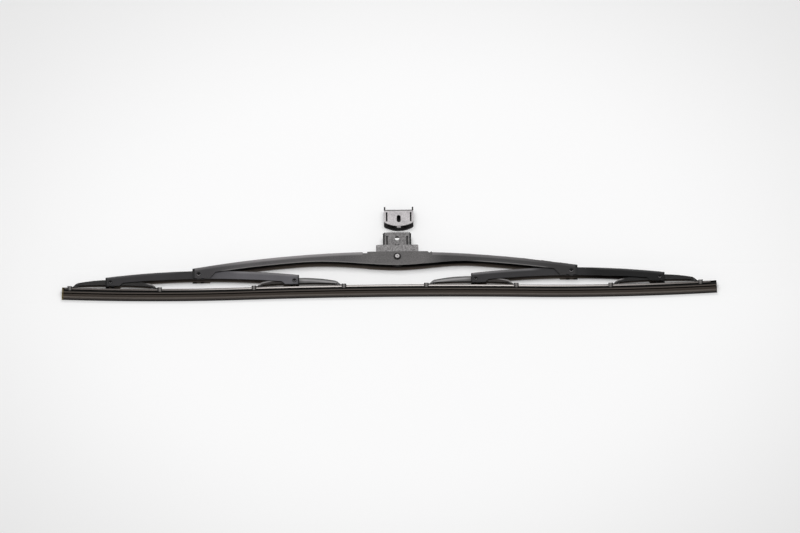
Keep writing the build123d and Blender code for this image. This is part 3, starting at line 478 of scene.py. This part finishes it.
# Wiping strip: one extruded length of warm black rubber with a head, a rib, a neck, a wedge and a lip.
# The eight claws hold its head, so it bends with them: here it is six lengths, of which the two middle
# ones are carried by their claw yokes, and three reach a little way into the next length, so that the
# strip stays whole.
STRIP_ENDS, STRIP_BACK_Y, STATION = (-0.3326, 0.3159), -0.02975, 0.006
CREST_HALF, CREST_RISE, CREST_R, END_R = 0.140, 0.00084, 6.0, 2.53
LEFT_CUT, RIGHT_CUT, INNER_REACH, OUTER_REACH = -0.1939, 0.1691, 0.159, 0.143
SPIGOT_LENGTH, SPIGOT_SHARES, SPIGOT_LETTERS = 0.0055, (0.985, 0.93), "ace"
RUBBER_HALF_SECTION = (
    (-0.01255, 0.00000),
    (-0.01255, 0.00030),
    (-0.01240, 0.00045),
    (-0.01045, 0.00045),
    (-0.01045, 0.00105),
    (-0.01020, 0.00130),
    (-0.00785, 0.00280),
    (-0.00755, 0.00290),
    (-0.00720, 0.00290),
    (-0.00705, 0.00275),
    (-0.00705, 0.00070),
    (-0.00615, 0.00070),
    (-0.00615, 0.00290),
    (-0.00595, 0.00310),
    (-0.00425, 0.00310),
    (-0.00405, 0.00290),
    (-0.00405, 0.00220),
    (-0.00290, 0.00220),
    (-0.00290, 0.00120),
    (-0.00100, 0.00120),
    (-0.00100, 0.00220),
    (-0.00080, 0.00240),
    (-0.00020, 0.00240),
    (0.00000, 0.00220),
    (0.00000, 0.00000),
)
# painted light and shade: the rubber's colour changes with height, lighter where a face catches the
# light and dark in the gaps and hollows of the section
BAND_REACH = 0.0126
RUBBER_SHADE_BANDS = (
    (-0.0125, (0.008, 0.0065, 0.0055)),
    (-0.0112, (0.010, 0.008, 0.007)),
    (-0.0107, (0.062, 0.053, 0.047)),
    (-0.0104, (0.085, 0.074, 0.066)),
    (-0.0097, (0.115, 0.100, 0.089)),
    (-0.0090, (0.038, 0.030, 0.024)),
    (-0.0072, (0.033, 0.025, 0.020)),
    (-0.0060, (0.010, 0.008, 0.006)),
    (-0.0055, (0.072, 0.059, 0.050)),
    (-0.0050, (0.078, 0.065, 0.056)),
    (-0.0046, (0.003, 0.0025, 0.002)),
    (0.0, (0.003, 0.0025, 0.002)),
)
CUT_END_X, CUT_END_TAN = (-0.3316, -0.3306), (0.11, 0.085, 0.035)


def strip_back(x):
    """Height and slope of the strip's back: a wide circle over the middle, which runs on
    smoothly into two tighter circles that curl up towards the ends."""
    side = np.sign(x - BRIDGE_MIDDLE_X)
    s = np.abs(x - BRIDGE_MIDDLE_X)
    sink = CREST_R - CREST_RISE
    sine = CREST_HALF / CREST_R
    centre = CREST_HALF + END_R * sine
    level = (CREST_R + END_R) * math.sqrt(1 - sine**2) - sink
    crest_depth = np.sqrt(CREST_R**2 - np.minimum(s, CREST_HALF) ** 2)
    end_depth = np.sqrt(END_R**2 - (np.maximum(s, CREST_HALF) - centre) ** 2)
    rise = np.where(s <= CREST_HALF, crest_depth - sink, level - end_depth)
    slope = np.where(s <= CREST_HALF, -s / crest_depth, (s - centre) / end_depth)
    return STRIP_BACK_Y + rise, side * slope


def carried(section, start, end, spigot):
    """A closed section (height above the back, Z) carried along the strip's back: at each
    station it is moved to the back's height and turned to stand square to the back's slope.
    A spigot goes on past the end, shrunk about the section's middle, into the next length.
    The labels are the place along the blade and the height."""
    x = np.linspace(start, end, max(2, int(round((end - start) / STATION)) + 1))
    share = np.ones(len(x))
    if spigot:
        x = np.append(x, [end, end + SPIGOT_LENGTH])
        share = np.append(share, SPIGOT_SHARES)
    y, slope = strip_back(x)
    run = 1 / np.sqrt(1 + slope**2)
    section = np.array(section)
    middle = (section.min(axis=0) + section.max(axis=0)) / 2
    height, across = np.moveaxis(middle + share[:, None, None] * (section - middle), -1, 0)
    px = x[:, None] - (slope * run)[:, None] * height
    py = y[:, None] + run[:, None] * height
    labels = np.stack(np.broadcast_arrays(x[:, None], height), axis=-1)
    return np.stack([px, py, across], axis=-1), labels


def both_halves(half):
    """Closed section from one half, mirrored over the middle plane."""
    half = np.array(half)
    other = half[1:-1][::-1] * (1, -1)
    return np.concatenate([half, other])


def strip_lengths(start, end):
    """Name, ends and followers of the six lengths between two ends of a strip or rail."""
    left_pivot, right_pivot = CLAW_RIVETS_X[1:3]
    return (
        ("a", start, LEFT_CUT, ("claw_yoke_1", "yoke_left", CLAWS_X[1], OUTER_REACH)),
        ("b", LEFT_CUT, left_pivot, ("claw_yoke_2", "yoke_left", CLAWS_X[2], -INNER_REACH)),
        ("c", left_pivot, BRIDGE_MIDDLE_X, ("claw_yoke_2",)),
        ("d", BRIDGE_MIDDLE_X, right_pivot, ("claw_yoke_3",)),
        ("e", right_pivot, RIGHT_CUT, ("claw_yoke_3", "yoke_right", CLAWS_X[5], INNER_REACH)),
        ("f", RIGHT_CUT, end, ("claw_yoke_4", "yoke_right", CLAWS_X[6], -OUTER_REACH)),
    )


def lay_strip(name, section, start, end, material, node, slot):
    """Make the six lengths of a strip; the two middle ones are carried by their claw yokes, the others
    stay where they are made.
    """
    for letter, from_x, to_x, follow in strip_lengths(start, end):
        points, labels = carried(section, from_x, to_x, letter in SPIGOT_LETTERS)
        length = surface(f"{name}_{letter}", points, True, True, material, labels)
        if len(follow) == 1:
            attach(length, follow[0])
        else:
            yoke, carrier, begin, reach = follow
            begin + reach
            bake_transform(length)
        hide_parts(node)


def along_strip(tone):
    """Place along the blade and height above the strip's back, from the labels."""
    label = tone.node("TexCoord", out="UV")
    return [tone.node("SeparateXYZ", (), {0: label}, out=axis) for axis in "XY"]


rubber_finish, shader, tone = new_finish("wiping_rubber", Specular_IOR_Level=0.15)
where = place(tone)[0]
along, height = along_strip(tone)
lines = speckle(where, 2600.0, 2.0, (0.01, 1, 1))
dust = speckle(where, 900.0, 3.0, (0.25, 1, 1))
stops = [(1 + level / BAND_REACH, colour) for level, colour in RUBBER_SHADE_BANDS]
black = tone.node("ValToRGB", {"stops": stops}, {0: 1.0 + height * (1 / BAND_REACH)})
black = shade(black, 0.6 + 0.5 * lines + 0.3 * dust)
black = tint(until(along, *CUT_END_X), black, CUT_END_TAN)
feed(shader, Base_Color=black, Roughness=0.45 + 0.2 * dust, Normal=relief(lines, 0.00008, 0.5))
rubber_section = both_halves(RUBBER_HALF_SECTION)
lay_strip("strip", rubber_section, *STRIP_ENDS, rubber_finish, "rubber_strip", "wiper_rubber")

# Rails: two flat lengths of rolled spring steel, pushed into the strip's grooves.
# They are bare metal with fine rolling lines along them; painted reflection makes them bright in the
# middle and dark brown towards both ends, and painted shade blackens their lower edge.
RAIL_ENDS = (-0.3301, 0.3099)
RAIL_SECTION = (
    (-0.00285, 0.00140),
    (-0.00285, 0.00370),
    (-0.00270, 0.00385),
    (-0.00120, 0.00385),
    (-0.00105, 0.00370),
    (-0.00105, 0.00140),
    (-0.00120, 0.00125),
    (-0.00270, 0.00125),
)
BRIGHT_X, BRIGHT_TO_SHADED = 0.02, (0.10, 0.30)
RAIL_FOOT, RAIL_TOP = (-0.00280, -0.00245), (-0.00165, -0.00120)
BRIGHT_STEELS = (0.44, 0.41, 0.39), (0.62, 0.585, 0.565)
SHADED_END_STEEL = (0.080, 0.070, 0.065)
RAIL_FOOT_SHADE_BLACK = (0.004, 0.0035, 0.003)
RAIL_TOP_GREY = (0.16, 0.145, 0.138)
rail_finish, shader, tone = new_finish("rolled_steel", Metallic=0.35, Specular_IOR_Level=0.15)
where = place(tone)[0]
along, height = along_strip(tone)
lines = speckle(where, 5000.0, 2.0, (0.004, 1, 1))
cloud = speckle(where, 25.0)
steel = tint(0.6 * lines + 0.4 * cloud, *BRIGHT_STEELS)
# painted reflection: bright in the middle, dark brown towards both ends
steel = tint(fade(abs(along - BRIGHT_X), *BRIGHT_TO_SHADED), steel, SHADED_END_STEEL)
# painted shade along the rail's foot
steel = tint(fade(height, *RAIL_FOOT), RAIL_FOOT_SHADE_BLACK, steel)
steel = tint(fade(height, *RAIL_TOP), steel, RAIL_TOP_GREY)
feed(shader, Base_Color=steel, Roughness=0.36 + 0.16 * lines, Normal=relief(lines, 0.00003, 0.4))
lay_strip("front_rail", RAIL_SECTION, *RAIL_ENDS, rail_finish, "rail_front", "rail_steel")
back_section = (np.array(RAIL_SECTION) * (1, -1))[::-1]
lay_strip("back_rail", back_section, *RAIL_ENDS, rail_finish, "rail_back", "rail_steel")

# Arm adapter: moulded in grey plastic with a spark-eroded grain, it turns on the hub pin.
# Its tongue has two grip slots painted dark inside as shade, an arm hole, a pip with a painted shadow
# below it, a mould mark, and guides along both sides painted dark as shade.
GRIP_X, GRIP_Y, GRIP_HALF, GRIP_REACH, GRIP_SOFT = 0.0100, 0.0182, 0.00085, 0.0057, 0.0002
UNDER_FACE_Z, GUIDE_X, GUIDE_Y = (0.0035, 0.0041), (0.0121, 0.0124), (0.0134, 0.0138)
TONGUE_Y, ROOT_Y = (0.0132, 0.0140), (0.0030, 0.0042)
PIP_Y, PIP_R, PIP_SHADE_R, PIP_LOWER_HALF = 0.0152, (0.0014, 0.0017), (0.0022, 0.0027), (0.0, 0.001)
MARK_X, MARK_Y, MARK_R, MARK_LINE = 0.0065, 0.0187, 0.0011, (0.0002, 0.0005)
ADAPTER_GREYS = (0.06, 0.057, 0.057), (0.36, 0.348, 0.348)
PIP_SHADOW_BLACK = (0.03, 0.028, 0.028)
MARK_GREY = (0.07, 0.067, 0.067)
GRIP_SHADE_BLACK = (0.02, 0.018, 0.017)
GUIDE_SHADE_BLACK = (0.008, 0.0075, 0.0075)
ROOT_SHADE_BLACK = (0.006, 0.005, 0.0045)
adapter_finish, shader, tone = new_finish("adapter_plastic", Specular_IOR_Level=0.35)
where, x, y, z = place(tone)
grain = speckle(where, 1100.0, 3.0)
coarse = speckle(where, 520.0, 3.0)
grey = tint(2.6 * (0.55 * grain + 0.45 * coarse) - 0.8, *ADAPTER_GREYS)
grey = shade(grey, 1.0 - 0.22 * fade(y, *TONGUE_Y))
from_pip = span(x, y - PIP_Y)
# painted shadow on the lower side of the pip
pip_shadow = fade(from_pip, *PIP_R) * until(from_pip, *PIP_SHADE_R) * fade(PIP_Y - y, *PIP_LOWER_HALF)
grey = tint(pip_shadow, grey, PIP_SHADOW_BLACK)
from_mark = span(x - MARK_X, y - MARK_Y)
grey = tint(0.5 * until(abs(from_mark - MARK_R), *MARK_LINE), grey, MARK_GREY)
# painted shade inside the grip slots, below the tongue's face
grips = until(abs(abs(x) - GRIP_X), GRIP_HALF, GRIP_HALF + GRIP_SOFT)
grips = grips * until(abs(y - GRIP_Y), GRIP_REACH, GRIP_REACH + GRIP_SOFT)
grey = tint(grips * until(z, *UNDER_FACE_Z), grey, GRIP_SHADE_BLACK)
# painted shade on the guides along both sides
grey = tint(fade(abs(x), *GUIDE_X) * fade(y, *GUIDE_Y), grey, GUIDE_SHADE_BLACK)
# painted shade: the adapter's root, inside the hub, is black
grey = tint(fade(y, *ROOT_Y), ROOT_SHADE_BLACK, grey)
feed(shader, Base_Color=grey, Roughness=0.5 + 0.15 * grain, Normal=relief(grain, 0.00012, 0.5))
dress(adapter_finish, "adapter")

# Cap: a pocket moulded in lighter grey plastic, pulled off the tongue and lying beside it.
# Its face has a fine grain; its sides, mouth, slots, prongs and back edge are painted dark as shade,
# and a small pale tab shows in its mouth.
CAP_X, CAP_MOUTH_Y = 0.0019, 0.0352
CAP_SLOT_X, CAP_SLOT_HALF = 0.0119, (0.0007, 0.0009)
CAP_SLOT_Y, CAP_SLOT_REACH = 0.0100, (0.0050, 0.0053)
CAP_BACK_Y, CAP_FACE_Z = (0.0166, 0.0170), (0.0030, 0.0036)
TAB_X, TAB_Y, TAB_Z = (0.0018, 0.0020), (0.0022, 0.0026), (0.0008, 0.0012)
CAP_GREYS = (0.33, 0.311, 0.316), (0.65, 0.622, 0.63)
CAP_SHADE_BLACK = (0.022, 0.020, 0.020)
cap_finish, shader, tone = new_finish("cap_plastic", Specular_IOR_Level=0.35)
where, x, y, z = place(tone)
grain = speckle(where, 900.0, 3.0)
cloud = speckle(where, 160.0)
grey = tint(2.4 * (0.7 * grain + 0.3 * cloud) - 0.7, *CAP_GREYS)
from_middle = abs(x - CAP_X)
from_mouth = y - CAP_MOUTH_Y
slots = until(abs(from_middle - CAP_SLOT_X), *CAP_SLOT_HALF)
slots = slots * until(abs(from_mouth - CAP_SLOT_Y), *CAP_SLOT_REACH)
tab = fade(z, *TAB_Z) * until(from_middle, *TAB_X) * until(from_mouth, *TAB_Y)
# painted shade: everything below the face but the tab, and the slots and the back edge, is dark
sides = until(z, *CAP_FACE_Z) * (1.0 - tab)
dark = sides.most(slots).most(fade(from_mouth, *CAP_BACK_Y))
grey = tint(dark, grey, CAP_SHADE_BLACK)
feed(shader, Base_Color=grey, Roughness=0.45 + 0.15 * grain, Normal=relief(grain, 0.00008, 0.4))
dress(cap_finish, "adapter_cap")

# Camera: above the rubber's side of the blade, looking down at 63.5 degrees with no perspective.
# The picture is 800 pixels wide and shows 0.991 mm of the blade in each.
PICTURE_WIDTH, PIXEL = 800, 0.000991
ELEVATION, YAW = math.radians(63.5), math.radians(0.672)
SHIFT_RIGHT, SHIFT_DOWN, CAMERA_AWAY, CAMERA_SIGHT = 2.7, 7.2, 3.0, 20.0
camera = bpy.data.objects.new("camera", bpy.data.cameras.new("camera"))
camera.data.type = "ORTHO"
camera.data.ortho_scale = PICTURE_WIDTH * PIXEL
camera.data.clip_end = CAMERA_SIGHT
forward = math.cos(ELEVATION)
right = np.array([math.cos(YAW), -math.sin(YAW), 0.0])
ahead = np.array([math.sin(YAW) * forward, math.cos(YAW) * forward, -math.sin(ELEVATION)])
up = np.cross(right, ahead)
camera.location = right * SHIFT_RIGHT * PIXEL - up * SHIFT_DOWN * PIXEL - ahead * CAMERA_AWAY
camera.rotation_euler = (math.pi / 2 - ELEVATION, 0, -YAW)
bpy.context.scene.collection.objects.link(camera)
bpy.context.scene.camera = camera
bpy.context.scene.view_settings.view_transform = "Standard"
